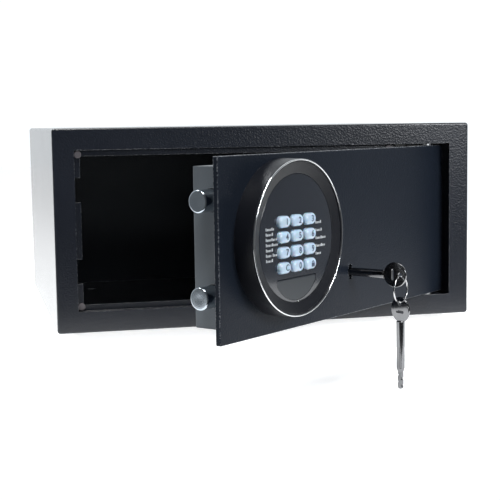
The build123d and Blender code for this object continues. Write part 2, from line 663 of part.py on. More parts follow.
def key_ring():
    """The ring through both keys, hanging from the inserted one."""
    ring = Torus(RING_R, RING_WIRE_R)
    return [Pos(DOOR_LEFT_X + LOCK_S, RING_Y, RING_TOP_Z - RING_R) * Rot(90, 0, 0) * ring]


def spare_key():
    """The second key, hanging from the bottom of the ring."""
    place = Pos(DOOR_LEFT_X + LOCK_S, RING_Y, SPARE_Z) * Rot(0, 0, 90 + SPARE_TWIST_DEG)
    return [place * lock_key()]


# Places worked out from the sizes above
KEY_RACK_Z = LOCK_Z + MODULE * KEY_TEETH / 2
MOTOR_S, MOTOR_RACK_Z = 150.0, 128.0
MOTOR_Z = MOTOR_RACK_Z + MODULE * MOTOR_TEETH / 2
SLOT_S, SLOT_Z = (85.0, 185.0), 101.0
CELL_R, CELL_DEPTH = 7.2, 23.0
CELL_HEIGHTS = tuple(96.6 + 15.6 * i for i in range(4))
SOCKET_S, SOCKET_Z = (76.0, 98.0), (57.0, 65.0)
WIRE_PLAY = KEY_HOLE_R - RING_WIRE_R - HANG_CLEARANCE
RING_Y = FRONT_Y - KEY_STANDS_OUT - KEY_HOLE_RISE
RING_TOP_Z = LOCK_Z - WIRE_PLAY
SPARE_Z = RING_TOP_Z - 2 * RING_R - WIRE_PLAY - KEY_HOLE_RISE

BODY = {
    "body_shell": body_shell, "back_panel": back_panel, "stop_frame": stop_frame,
    "corner_bumpers": corner_bumpers, "strike_angle": strike_angle, "pivot_tabs": pivot_tabs,
    "hinge_washers": hinge_washers,
}
DOOR = {
    "door_plate": door_plate, "hinge_ears": hinge_ears, "hinge_pins": hinge_pins,
    "lock_box": lock_box, "cover_pillars": cover_pillars, "cover_screws": cover_screws,
    "bolt_guides": bolt_guides, "guide_studs": guide_studs, "gear_motor": gear_motor,
    "motor_saddle": motor_saddle, "lock_cylinder": lock_cylinder, "battery_case": battery_case,
    "batteries": batteries, "battery_hatch": battery_hatch, "keypad_housing": keypad_housing,
    "chrome_ring": chrome_ring, "keypad_panel": keypad_panel, "key_mat": key_mat,
    "circuit_board": circuit_board, "board_pillars": board_pillars, "display_module": display_module,
    "service_socket": service_socket, "keypad_screws": keypad_screws, "flap_screw": flap_screw,
    "service_flap": service_flap, "flap_pin": flap_pin, "bolt_carriage": bolt_carriage,
    "bolt_nuts": bolt_nuts, "motor_pinion": motor_pinion, "key_plug": key_plug,
    "key_pinion": key_pinion, "plug_nut": plug_nut, "override_key": override_key,
    "key_ring": key_ring, "spare_key": spare_key,
}


def write(name, solids):
    """One STEP file for one node."""
    export_step(Compound(label=name, children=list(solids)) if len(solids) > 1 else solids[0],
                f"parts/{name}.step")


os.makedirs("parts", exist_ok=True)
for node, make in BODY.items():
    write(node, make())
for node, make in DOOR.items():
    write(node, open_door(make()))
for height, node in zip(BOLT_HEIGHTS, ("lower_bolt", "upper_bolt")):
    write(node, open_door(round_bolt(height)))
for place, node in zip(key_places(), KEY_NAMES):
    write(node, open_door([keypad_key(*place)]))
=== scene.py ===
"""Looks of the in room safe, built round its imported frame.

Metres. Door pieces are built in the door's own axes: x runs along the door from its free edge
towards the hinge, y runs from its front face into the door, and z is up.
"""
import json
import logging
import math
from dataclasses import dataclass, field
from enum import Enum
from typing import Callable, Iterable, Sequence
import bmesh
import bpy
from mathutils import Matrix, Vector
from mathutils.bvhtree import BVHTree

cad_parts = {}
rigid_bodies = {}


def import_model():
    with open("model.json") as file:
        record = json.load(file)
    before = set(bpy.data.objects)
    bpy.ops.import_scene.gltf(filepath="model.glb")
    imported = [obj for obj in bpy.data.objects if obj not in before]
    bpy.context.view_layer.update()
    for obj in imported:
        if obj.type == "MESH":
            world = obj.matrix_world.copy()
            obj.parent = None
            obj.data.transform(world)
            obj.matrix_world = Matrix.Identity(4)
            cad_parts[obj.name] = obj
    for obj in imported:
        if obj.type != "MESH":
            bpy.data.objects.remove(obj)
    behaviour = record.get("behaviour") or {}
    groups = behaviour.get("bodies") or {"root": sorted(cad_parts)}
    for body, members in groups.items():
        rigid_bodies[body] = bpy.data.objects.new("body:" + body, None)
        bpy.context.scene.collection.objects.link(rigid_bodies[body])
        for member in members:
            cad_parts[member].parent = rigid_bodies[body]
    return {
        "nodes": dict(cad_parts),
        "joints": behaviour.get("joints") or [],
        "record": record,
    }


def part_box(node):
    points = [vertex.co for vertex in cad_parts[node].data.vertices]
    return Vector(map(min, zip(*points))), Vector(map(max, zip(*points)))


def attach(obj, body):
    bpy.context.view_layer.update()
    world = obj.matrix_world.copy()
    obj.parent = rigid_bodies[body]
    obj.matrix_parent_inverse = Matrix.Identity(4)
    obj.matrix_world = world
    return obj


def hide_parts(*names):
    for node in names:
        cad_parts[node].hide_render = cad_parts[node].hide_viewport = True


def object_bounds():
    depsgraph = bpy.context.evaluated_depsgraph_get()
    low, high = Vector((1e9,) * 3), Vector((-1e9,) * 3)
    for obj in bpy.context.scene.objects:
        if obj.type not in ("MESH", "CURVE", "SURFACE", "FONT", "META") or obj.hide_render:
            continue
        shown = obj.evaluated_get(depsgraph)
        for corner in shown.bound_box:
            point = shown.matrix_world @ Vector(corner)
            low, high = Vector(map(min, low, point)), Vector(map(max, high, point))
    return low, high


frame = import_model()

CAD_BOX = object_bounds()
MM = 0.001
Colour = tuple[float, float, float]
Point = Sequence[float]
Feed = bpy.types.NodeSocket | float
Paint = bpy.types.NodeSocket | Colour
LOG = logging.getLogger("safe")


# ---------------------------------------------------------------- shader groups

class ShaderGroup:
    """A shader node group with named inputs and outputs, built once and placed in materials."""

    def __init__(self, name: str, inputs: dict[str, float], outputs: Sequence[str]) -> None:
        """Starts an empty group.

        Args:
            name: The group's name.
            inputs: Each input's name and its default value.
            outputs: The names of its value outputs.
        """
        self.tree = bpy.data.node_groups.new(name, "ShaderNodeTree")
        for label, value in inputs.items():
            socket = self.tree.interface.new_socket(label, in_out="INPUT", socket_type="NodeSocketFloat")
            socket.default_value = value
        for label in outputs:
            self.tree.interface.new_socket(label, in_out="OUTPUT", socket_type="NodeSocketFloat")
        self.given = self.tree.nodes.new("NodeGroupInput")
        self.result = self.tree.nodes.new("NodeGroupOutput")

    def add(self, kind: str, **settings) -> bpy.types.Node:
        """Adds a node with its settings and returns it."""
        return add_node(self.tree, kind, **settings)

    def link(self, source: bpy.types.NodeSocket, target: bpy.types.NodeSocket) -> None:
        """Links two sockets."""
        self.tree.links.new(source, target)

    def math(self, operation: str, first: Feed, second: Feed = 0.5) -> bpy.types.NodeSocket:
        """A math node fed by sockets or numbers.

        Args:
            operation: The math operation.
            first: A socket or a number.
            second: A socket or a number.

        Returns:
            Its output socket.
        """
        return add_math(self.tree, operation, first, second)


def add_node(tree: bpy.types.NodeTree, kind: str, **settings) -> bpy.types.Node:
    """Adds a node and sets its properties.

    Args:
        tree: The tree that gets the node.
        kind: The node's type.
        settings: Properties to set on it.

    Returns:
        The new node.
    """
    node = tree.nodes.new(kind)
    for key, value in settings.items():
        setattr(node, key, value)
    return node


def add_math(tree: bpy.types.NodeTree, operation: str, first: Feed,
             second: Feed = 0.5) -> bpy.types.NodeSocket:
    """Adds a math node fed by sockets or numbers.

    Args:
        tree: The tree that gets the node.
        operation: The math operation.
        first: A socket or a number.
        second: A socket or a number.

    Returns:
        Its output socket.
    """
    node = add_node(tree, "ShaderNodeMath", operation=operation)
    for socket, value in zip(node.inputs, (first, second)):
        if isinstance(value, bpy.types.NodeSocket):
            tree.links.new(value, socket)
        else:
            socket.default_value = value
    return node.outputs[0]


def pebble_group() -> bpy.types.NodeTree:
    """The leathery pebbles of a powder coat: height, and a tone that varies slowly."""
    group = ShaderGroup("powder_pebble", {"Scale": 620.0, "Roughen": 0.35}, ("Height", "Tone"))
    place = group.add("ShaderNodeTexCoord")
    cells = group.add("ShaderNodeTexVoronoi", feature="SMOOTH_F1")
    fine = group.add("ShaderNodeTexNoise")
    slow = group.add("ShaderNodeTexNoise")
    slow.inputs["Scale"].default_value = 9.0
    slow.inputs["Detail"].default_value = 3.0
    fine.inputs["Detail"].default_value = 3.0
    for texture in (cells, fine, slow):
        group.link(place.outputs["Object"], texture.inputs["Vector"])
    group.link(group.given.outputs["Scale"], cells.inputs["Scale"])
    double = group.math("MULTIPLY", group.given.outputs["Scale"], 1.7)
    group.link(double, fine.inputs["Scale"])
    rough = group.math("MULTIPLY", fine.outputs["Fac"], group.given.outputs["Roughen"])
    group.link(group.math("ADD", cells.outputs["Distance"], rough), group.result.inputs["Height"])
    group.link(slow.outputs["Fac"], group.result.inputs["Tone"])
    return group.tree


def wear_group() -> bpy.types.NodeTree:
    """Rubbed edges: a mask that is 1 on an outer edge and breaks up along it."""
    group = ShaderGroup("edge_wear", {"Radius": 0.0008, "Amount": 0.5, "Break Up": 140.0}, ("Mask",))
    place = group.add("ShaderNodeTexCoord")
    round_off = group.add("ShaderNodeBevel", samples=4)
    group.link(group.given.outputs["Radius"], round_off.inputs["Radius"])
    flat = group.add("ShaderNodeNewGeometry")
    dot = group.add("ShaderNodeVectorMath", operation="DOT_PRODUCT")
    group.link(round_off.outputs["Normal"], dot.inputs[0])
    group.link(flat.outputs["Normal"], dot.inputs[1])
    edge = group.math("SUBTRACT", 1.0, dot.outputs["Value"])
    edge = group.math("MULTIPLY", edge, 9.0)
    noise = group.add("ShaderNodeTexNoise")
    noise.inputs["Detail"].default_value = 4.0
    group.link(place.outputs["Object"], noise.inputs["Vector"])
    group.link(group.given.outputs["Break Up"], noise.inputs["Scale"])
    specks = group.math("MULTIPLY", group.math("SUBTRACT", noise.outputs["Fac"], 0.47), 6.0)
    specks = group.math("MINIMUM", group.math("MAXIMUM", specks, 0.0), 1.0)
    broken = group.math("MULTIPLY", edge, specks)
    worn = group.math("MULTIPLY", broken, group.given.outputs["Amount"])
    group.link(group.math("MINIMUM", worn, 1.0), group.result.inputs["Mask"])
    return group.tree


def brushed_group() -> bpy.types.NodeTree:
    """Fine drawn lines round or along a metal part: height, and a smear of handling."""
    group = ShaderGroup("drawn_metal", {"Across": 2400.0, "Along": 90.0}, ("Height", "Smear"))
    place = group.add("ShaderNodeTexCoord")
    stretch = group.add("ShaderNodeCombineXYZ")
    for label, source in (("X", "Along"), ("Y", "Along"), ("Z", "Across")):
        group.link(group.given.outputs[source], stretch.inputs[label])
    scaled = group.add("ShaderNodeVectorMath", operation="MULTIPLY")
    group.link(place.outputs["Object"], scaled.inputs[0])
    group.link(stretch.outputs["Vector"], scaled.inputs[1])
    lines = group.add("ShaderNodeTexNoise")
    lines.inputs["Scale"].default_value = 1.0
    lines.inputs["Detail"].default_value = 4.0
    smear = group.add("ShaderNodeTexNoise")
    smear.inputs["Scale"].default_value = 60.0
    smear.inputs["Detail"].default_value = 3.0
    group.link(scaled.outputs["Vector"], lines.inputs["Vector"])
    group.link(place.outputs["Object"], smear.inputs["Vector"])
    group.link(lines.outputs["Fac"], group.result.inputs["Height"])
    group.link(smear.outputs["Fac"], group.result.inputs["Smear"])
    return group.tree


def dust_group() -> bpy.types.NodeTree:
    """Light dust, thickest where a surface faces up."""
    group = ShaderGroup("settled_dust", {"Scale": 45.0, "Amount": 0.2}, ("Mask",))
    place = group.add("ShaderNodeTexCoord")
    noise = group.add("ShaderNodeTexNoise")
    noise.inputs["Detail"].default_value = 6.0
    noise.inputs["Roughness"].default_value = 0.7
    group.link(place.outputs["Object"], noise.inputs["Vector"])
    group.link(group.given.outputs["Scale"], noise.inputs["Scale"])
    facing = group.add("ShaderNodeNewGeometry")
    parts = group.add("ShaderNodeSeparateXYZ")
    group.link(facing.outputs["Normal"], parts.inputs["Vector"])
    upward = group.math("MAXIMUM", parts.outputs["Z"], 0.08)
    patch = group.math("MULTIPLY", noise.outputs["Fac"], upward)
    group.link(group.math("MULTIPLY", patch, group.given.outputs["Amount"]), group.result.inputs["Mask"])
    return group.tree


class Effect(Enum):
    """The shared surface effects."""

    PEBBLE = "powder_pebble"
    WEAR = "edge_wear"
    BRUSHED = "drawn_metal"
    DUST = "settled_dust"


GROUP_MAKERS: dict[Effect, Callable[[], bpy.types.NodeTree]] = {
    Effect.PEBBLE: pebble_group,
    Effect.WEAR: wear_group,
    Effect.BRUSHED: brushed_group,
    Effect.DUST: dust_group,
}
GROUPS: dict[Effect, bpy.types.NodeTree] = {}


def effect_group(effect: Effect) -> bpy.types.NodeTree:
    """The group for an effect, made on first use."""
    if effect not in GROUPS:
        GROUPS[effect] = GROUP_MAKERS[effect]()
    return GROUPS[effect]


# ---------------------------------------------------------------- finishes

class Surface:
    """A material being put together round one Principled shader."""

    def __init__(self, name: str) -> None:
        """Starts a material with a Principled shader.

        Args:
            name: The material's name.
        """
        self.material = bpy.data.materials.new(name)
        self.material.use_nodes = True
        self.tree = self.material.node_tree
        self.shader = next(n for n in self.tree.nodes if n.type == "BSDF_PRINCIPLED")

    def plain(self, **values) -> None:
        """Sets uniform values straight on the shader's sockets, with _ for a space in a name."""
        for key, value in values.items():
            socket = self.shader.inputs[key.replace("_", " ")]
            socket.default_value = (*value, 1.0) if isinstance(value, tuple) else value

    def effect(self, effect: Effect, **values: float) -> bpy.types.Node:
        """Places a shared effect in the material.

        Args:
            effect: Which effect.
            values: Its inputs, with _ for a space in a name.

        Returns:
            The group node.
        """
        node = add_node(self.tree, "ShaderNodeGroup", node_tree=effect_group(effect))
        for key, value in values.items():
            node.inputs[key.replace("_", " ")].default_value = value
        return node

    def blend(self, mask: bpy.types.NodeSocket, low: Paint, high: Paint) -> bpy.types.NodeSocket:
        """Mixes two colours by a mask.

        Args:
            mask: The mask's socket.
            low: A colour or a colour socket, where the mask is 0.
            high: A colour or a colour socket, where the mask is 1.

        Returns:
            The mixed colour's socket.
        """
        mix = add_node(self.tree, "ShaderNodeMix", data_type="RGBA")
        self.tree.links.new(mask, mix.inputs["Factor"])
        for socket, value in ((mix.inputs[6], low), (mix.inputs[7], high)):
            if isinstance(value, bpy.types.NodeSocket):
                self.tree.links.new(value, socket)
            else:
                socket.default_value = (*value, 1.0)
        return mix.outputs[2]

    def ramp(self, value: bpy.types.NodeSocket, low: float, high: float) -> bpy.types.NodeSocket:
        """Maps a value of 0 to 1 onto the span from low to high.

        Args:
            value: The socket to map.
            low: What 0 becomes.
            high: What 1 becomes.

        Returns:
            The mapped socket.
        """
        span = add_node(self.tree, "ShaderNodeMapRange")
        span.inputs["To Min"].default_value = low
        span.inputs["To Max"].default_value = high
        self.tree.links.new(value, span.inputs["Value"])
        return span.outputs["Result"]

    def wire(self, source: bpy.types.NodeSocket, target: str) -> None:
        """Feeds a shader input from a socket."""
        self.tree.links.new(source, self.shader.inputs[target])

    def bump(self, height: bpy.types.NodeSocket, depth: float, strength: float = 1.0) -> None:
        """Feeds the shader's normal from a height.

        Args:
            height: The height socket.
            depth: How deep a height of 1 is, in metres.
            strength: How much of it shows.
        """
        node = add_node(self.tree, "ShaderNodeBump")
        node.inputs["Strength"].default_value = strength
        node.inputs["Distance"].default_value = depth
        self.tree.links.new(height, node.inputs["Height"])
        self.wire(node.outputs["Normal"], "Normal")


@dataclass(frozen=True)
class PowderCoat:
    """Pebbled powder coat on steel, rubbed at the edges; where the rubbed colour is bright, the specks are
    painted glints as well as wear.
    """

    name: str
    colour: Colour
    tint: Colour
    roughness: tuple[float, float] = (0.34, 0.5)
    pebble: float = 620.0
    depth: float = 0.00022
    wear: float = 0.5
    dust: float = 0.06
    bare: Colour = (0.34, 0.35, 0.37)
    break_up: float = 420.0
    coat: float = 0.0
    specular: float = 0.5

    def build(self) -> bpy.types.Material:
        """Makes the material."""
        surface = Surface(self.name)
        grain = surface.effect(Effect.PEBBLE, Scale=self.pebble)
        wear = surface.effect(Effect.WEAR, Amount=self.wear, Break_Up=self.break_up)
        dust = surface.effect(Effect.DUST, Amount=self.dust)
        colour = surface.blend(grain.outputs["Tone"], self.colour, self.tint)
        colour = surface.blend(dust.outputs["Mask"], colour, (0.42, 0.41, 0.39))
        # Rubbed edges take the bare colour; where that colour is bright, as on the door plate, the specks are
        # painted glints as well as real wear.
        colour = surface.blend(wear.outputs["Mask"], colour, self.bare)
        surface.wire(colour, "Base Color")
        surface.wire(surface.ramp(grain.outputs["Tone"], *self.roughness), "Roughness")
        surface.bump(grain.outputs["Height"], self.depth)
        surface.plain(Specular_IOR_Level=self.specular, Coat_Weight=self.coat, Coat_Roughness=0.17,
                      Coat_IOR=1.5)
        return surface.material


@dataclass(frozen=True)
class PlatedMetal:
    """Nickel, chrome, zinc or brass with drawn lines and a little handling."""

    name: str
    colour: Colour
    tint: Colour
    roughness: tuple[float, float] = (0.08, 0.2)
    across: float = 2400.0
    along: float = 90.0
    depth: float = 0.000015

    def build(self) -> bpy.types.Material:
        """Makes the material."""
        surface = Surface(self.name)
        lines = surface.effect(Effect.BRUSHED, Across=self.across, Along=self.along)
        surface.wire(surface.blend(lines.outputs["Smear"], self.colour, self.tint), "Base Color")
        surface.wire(surface.ramp(lines.outputs["Smear"], *self.roughness), "Roughness")
        surface.bump(lines.outputs["Height"], self.depth)
        surface.plain(Metallic=1.0)
        return surface.material


@dataclass(frozen=True)
class Moulding:
    """A moulded plastic or rubber with a fine spark-eroded skin."""

    name: str
    colour: Colour
    tint: Colour
    roughness: tuple[float, float] = (0.3, 0.42)
    skin: float = 1600.0
    depth: float = 0.00004
    specular: float = 0.5
    coat: float = 0.0
    wear: float = 0.0
    subsurface: float = 0.0

    def build(self) -> bpy.types.Material:
        """Makes the material."""
        surface = Surface(self.name)
        grain = surface.effect(Effect.PEBBLE, Scale=self.skin)
        colour = surface.blend(grain.outputs["Tone"], self.colour, self.tint)
        if self.wear:
            wear = surface.effect(Effect.WEAR, Amount=self.wear)
            colour = surface.blend(wear.outputs["Mask"], colour, (0.3, 0.3, 0.31))
        surface.wire(colour, "Base Color")
        surface.wire(surface.ramp(grain.outputs["Tone"], *self.roughness), "Roughness")
        surface.bump(grain.outputs["Height"], self.depth)
        surface.plain(Specular_IOR_Level=self.specular, Coat_Weight=self.coat, Coat_Roughness=0.04,
                      Subsurface_Weight=self.subsurface, Subsurface_Scale=0.002)
        return surface.material


FINISHES = {
    finish.name: finish for finish in (
        PowderCoat("body_coat", (0.005, 0.0072, 0.013), (0.007, 0.0095, 0.016), depth=0.00026, coat=0.75,
                   roughness=(0.27, 0.36), specular=0.28),
        # Door plate: heavy, finely broken edge wear in a bright bluish bare colour, partly rubbed steel and
        # partly painted glints of the pebbled edge.
        PowderCoat("door_coat", (0.008, 0.0115, 0.019), (0.010, 0.014, 0.022), roughness=(0.3, 0.36),
                   specular=0.1,
                   pebble=760.0, depth=0.00017, wear=1.6, break_up=900.0, bare=(0.5, 0.53, 0.58)),
        PowderCoat("box_coat", (0.075, 0.09, 0.105), (0.095, 0.11, 0.125), roughness=(0.4, 0.52),
                   pebble=1100.0, depth=0.0001),
        PlatedMetal("zinc", (0.5, 0.52, 0.55), (0.6, 0.6, 0.58), roughness=(0.26, 0.42)),
        PlatedMetal("bolt_nickel", (0.42, 0.48, 0.54), (0.5, 0.55, 0.6), roughness=(0.07, 0.12),
                    depth=0.000002),
        Moulding("bumper_rubber", (0.1, 0.09, 0.1), (0.13, 0.12, 0.13), roughness=(0.5, 0.7)),
        Moulding("dark_moulding", (0.005, 0.006, 0.009), (0.008, 0.009, 0.013), roughness=(0.3, 0.38),
                 skin=1500.0, depth=0.00013, wear=0.1, specular=0.22),
        Moulding("cell_wrap", (0.05, 0.1, 0.19), (0.08, 0.14, 0.24), roughness=(0.15, 0.25), depth=0.00001),
        PlatedMetal("brass", (0.62, 0.46, 0.22), (0.7, 0.55, 0.3), roughness=(0.2, 0.36)),
        PlatedMetal("bezel_chrome", (0.7, 0.72, 0.74), (0.78, 0.79, 0.8), roughness=(0.05, 0.12),
                    depth=0.000004),
        Moulding("face_gloss", (0.010, 0.0135, 0.0215), (0.014, 0.018, 0.027), roughness=(0.08, 0.14),
                 depth=0.000004, coat=0.5),
        Moulding("board", (0.02, 0.12, 0.05), (0.03, 0.16, 0.07), roughness=(0.25, 0.4)),
        Moulding("flap_moulding", (0.014, 0.019, 0.026), (0.018, 0.024, 0.031), roughness=(0.24, 0.32),
                 depth=0.00001),
        Moulding("key_cap", (0.46, 0.6, 0.75), (0.52, 0.66, 0.8), roughness=(0.16, 0.26), depth=0.000006,
                 coat=0.3,
                 subsurface=0.2),
        PlatedMetal("key_nickel", (0.17, 0.175, 0.185), (0.25, 0.25, 0.255), roughness=(0.09, 0.17),
                    depth=0.0000015),
        PlatedMetal("ring_steel", (0.6, 0.61, 0.62), (0.68, 0.68, 0.68), roughness=(0.08, 0.18)),
        Moulding("figure_ink", (0.03, 0.055, 0.1), (0.045, 0.07, 0.12), roughness=(0.4, 0.5), depth=0.000004),
        Moulding("print_ink", (0.5, 0.53, 0.56), (0.6, 0.62, 0.64), roughness=(0.4, 0.5), depth=0.000004),
    )
}
MADE: dict[str, bpy.types.Material] = {}


def finish_material(name: str) -> bpy.types.Material:
    """The material of a finish, made on first use."""
    if name not in MADE:
        MADE[name] = FINISHES[name].build()
    return MADE[name]


# ---------------------------------------------------------------- places and meshes

class DoorAxes:
    """The door's own axes, read from the frame's joints and the door plate."""

    def __init__(self) -> None:
        """Reads the directions of the door from its bolts and its lock."""
        joints = {joint["name"]: joint for joint in frame["joints"]}
        along = -Vector(joints["bolt_throw"]["axis"])
        inward = -Vector(joints["key_turn"]["axis"])
        turn = Matrix((along, inward, Vector((0, 0, 1)))).transposed()
        self.turned = turn.to_4x4()
        low, _ = self._extent("door_plate", self.turned.inverted())
        self.to_world = self.turned @ Matrix.Translation((low.x, low.y, 0))
        self.to_door = self.to_world.inverted()

    @staticmethod
    def _extent(node: str, turn: Matrix) -> tuple[Vector, Vector]:
        """The box of a node's points after they are turned."""
        points = [turn @ v.co for v in frame["nodes"][node].data.vertices]
        low = Vector([min(p[i] for p in points) for i in range(3)])
        high = Vector([max(p[i] for p in points) for i in range(3)])
        return low, high

    def box(self, node: str) -> tuple[Vector, Vector]:
        """A node's lowest and highest corners in the door's axes.

        Args:
            node: The CAD node.

        Returns:
            The two corners.
        """
        return self._extent(node, self.to_door)

    def middle(self, node: str) -> Vector:
        """The middle of a node's box in the door's axes."""
        low, high = self.box(node)
        return (low + high) / 2


AXES = DoorAxes()


def mesh_from(name: str, points: Iterable[Point], faces: Iterable[Sequence[int]],
              place: Matrix = Matrix.Identity(4)) -> bpy.types.Object:
    """A mesh object from points and faces.

    Args:
        name: The object's name.
        points: Its points.
        faces: Its faces, as lists of point numbers.
        place: Where the mesh goes, applied to its points.

    Returns:
        The new object, at the origin.
    """
    mesh = bpy.data.meshes.new(name)
    mesh.from_pydata([tuple(p) for p in points], [], [list(f) for f in faces])
    mesh.transform(place)
    body = bmesh.new()
    body.from_mesh(mesh)
    bmesh.ops.remove_doubles(body, verts=body.verts, dist=1e-7)
    bmesh.ops.recalc_face_normals(body, faces=body.faces)
    body.to_mesh(mesh)
    body.free()
    mesh.polygons.foreach_set("use_smooth", [True] * len(mesh.polygons))
    return plain_object(name, mesh)


def lathe(name: str, profile: Sequence[tuple[float, float]], place: Matrix,
          segments: int = 96) -> bpy.types.Object:
    """A closed turned shape about the local z axis.

    Args:
        name: The object's name.
        profile: (radius, height) points from the axis or round a ring, in order.
        place: Where it goes.
        segments: How many steps go round.

    Returns:
        The new object.
    """
    count = len(profile)
    points = [(r * math.cos(a), r * math.sin(a), h)
              for a in (2 * math.pi * i / segments for i in range(segments)) for r, h in profile]
    on_axis = profile[0][0] < 1e-9
    steps = count - 1 if on_axis else count
    faces = []
    for i in range(segments):
        for j in range(steps):
            a, b = i * count + j, i * count + (j + 1) % count
            c, d = (i + 1) % segments * count + (j + 1) % count, (i + 1) % segments * count + j
            faces.append((a, b, c, d))
    return mesh_from(name, points, faces, place)


def rounded_outline(width: float, height: float, corner: float, steps: int = 10) -> list[tuple[float, float]]:
    """A rounded rectangle about the origin.

    Args:
        width: Its width.
        height: Its height.
        corner: The corner radius.
        steps: Points on each corner, less one.

    Returns:
        Its points, anticlockwise.
    """
    points = []
    for quarter, (sx, sy) in enumerate(((1, 1), (-1, 1), (-1, -1), (1, -1))):
        for k in range(steps + 1):
            a = math.pi / 2 * (quarter + k / steps)
            points.append((sx * (width / 2 - corner) + corner * math.cos(a),
                           sy * (height / 2 - corner) + corner * math.sin(a)))
    return points


def stacked(name: str, levels: Sequence[tuple[list[tuple[float, float]], float]],
            place: Matrix) -> bpy.types.Object:
    """A closed solid through outlines of equal length at rising heights.

    Args:
        name: The object's name.
        levels: Each outline with its height.
        place: Where it goes.

    Returns:
        The new object.
    """
    points = [(x, y, h) for outline, h in levels for x, y in outline]
    n = len(levels[0][0])
    faces = [tuple(reversed(range(n))), tuple(range(len(points) - n, len(points)))]
    for level in range(len(levels) - 1):
        for i in range(n):
            a, b = level * n + i, level * n + (i + 1) % n
            faces.append((a, b, b + n, a + n))
    return mesh_from(name, points, faces, place)


def plain_object(name: str, mesh: bpy.types.Mesh) -> bpy.types.Object:
    """An object at the origin round a mesh, linked to the scene."""
    obj = bpy.data.objects.new(name, mesh)
    bpy.context.scene.collection.objects.link(obj)
    return obj


def rounded_edges(obj: bpy.types.Object, width: float, segments: int = 3,
                  angle: float = 32.0) -> bpy.types.Object:
    """Rounds an object's sharp edges with a live bevel.

    Args:
        obj: The object.
        width: The bevel's width.
        segments: Its segments.
        angle: The least angle between faces that is rounded, in degrees.

    Returns:
        The same object.
    """
    bevel = obj.modifiers.new("rounded_edges", "BEVEL")
    bevel.width = width
    bevel.segments = segments
    bevel.limit_method = "ANGLE"
    bevel.angle_limit = math.radians(angle)
    bevel.harden_normals = False
    bevel.miter_outer = "MITER_ARC"
    even = obj.modifiers.new("flat_faces_stay_flat", "WEIGHTED_NORMAL")
    even.weight = 100
    return obj


def finish_piece(obj: bpy.types.Object, body: str, slot: str, *nodes: str, ink: str = "") -> bpy.types.Object:
    """Dresses a piece, sets it on its body and hides the CAD nodes that it replaces.

    Args:
        obj: The piece.
        body: The CAD body that it rides on.
        slot: The record's material slot.
        nodes: The CAD nodes that it replaces.
        ink: A finish of its own, where it isn't the slot's.

    Returns:
        The same piece.
    """
    obj.data.materials.clear()
    obj.data.materials.append(finish_material(ink or slot))
    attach(obj, body)
    if nodes:
        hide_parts(*nodes)
    return obj


def softened(node: str, name: str, width: float, segments: int = 3) -> bpy.types.Object:
    """A copy of a CAD node, merged into clean faces, with its sharp edges rounded.

    Args:
        node: The CAD node.
        name: The copy's name.
        width: The width of the rounding.
        segments: Its segments.

    Returns:
        The copy, with a live bevel.
    """
    body = bmesh.new()
    body.from_mesh(frame["nodes"][node].data)
    bmesh.ops.remove_doubles(body, verts=body.verts, dist=2e-6)
    bmesh.ops.dissolve_limit(body, angle_limit=math.radians(0.4), verts=body.verts, edges=body.edges)
    mesh = bpy.data.meshes.new(name)
    body.to_mesh(mesh)
    body.free()
    mesh.polygons.foreach_set("use_smooth", [True] * len(mesh.polygons))
    return rounded_edges(plain_object(name, mesh), width, segments)


def body_of(node: str) -> str:
    """The body that a CAD node is on."""
    groups = frame["record"]["behaviour"]["bodies"]
    return next(body for body, nodes in groups.items() if node in nodes)


def slot_of(node: str) -> str:
    """The material slot of a CAD node."""
    return next(part["material_slot"] for part in frame["record"]["subparts"] if part["node"] == node)


def solid_copy(node: str, width: float, segments: int = 3) -> bpy.types.Object:
    """A rounded copy of a node that takes the node's place, finish and body.

    Args:
        node: The CAD node.
        width: The width of the rounding.
        segments: Its segments.

    Returns:
        The copy.
    """
    copy = softened(node, f"{node}_finished", width, segments)
    return finish_piece(copy, body_of(node), slot_of(node), node)


# ---------------------------------------------------------------- repeats by Geometry Nodes

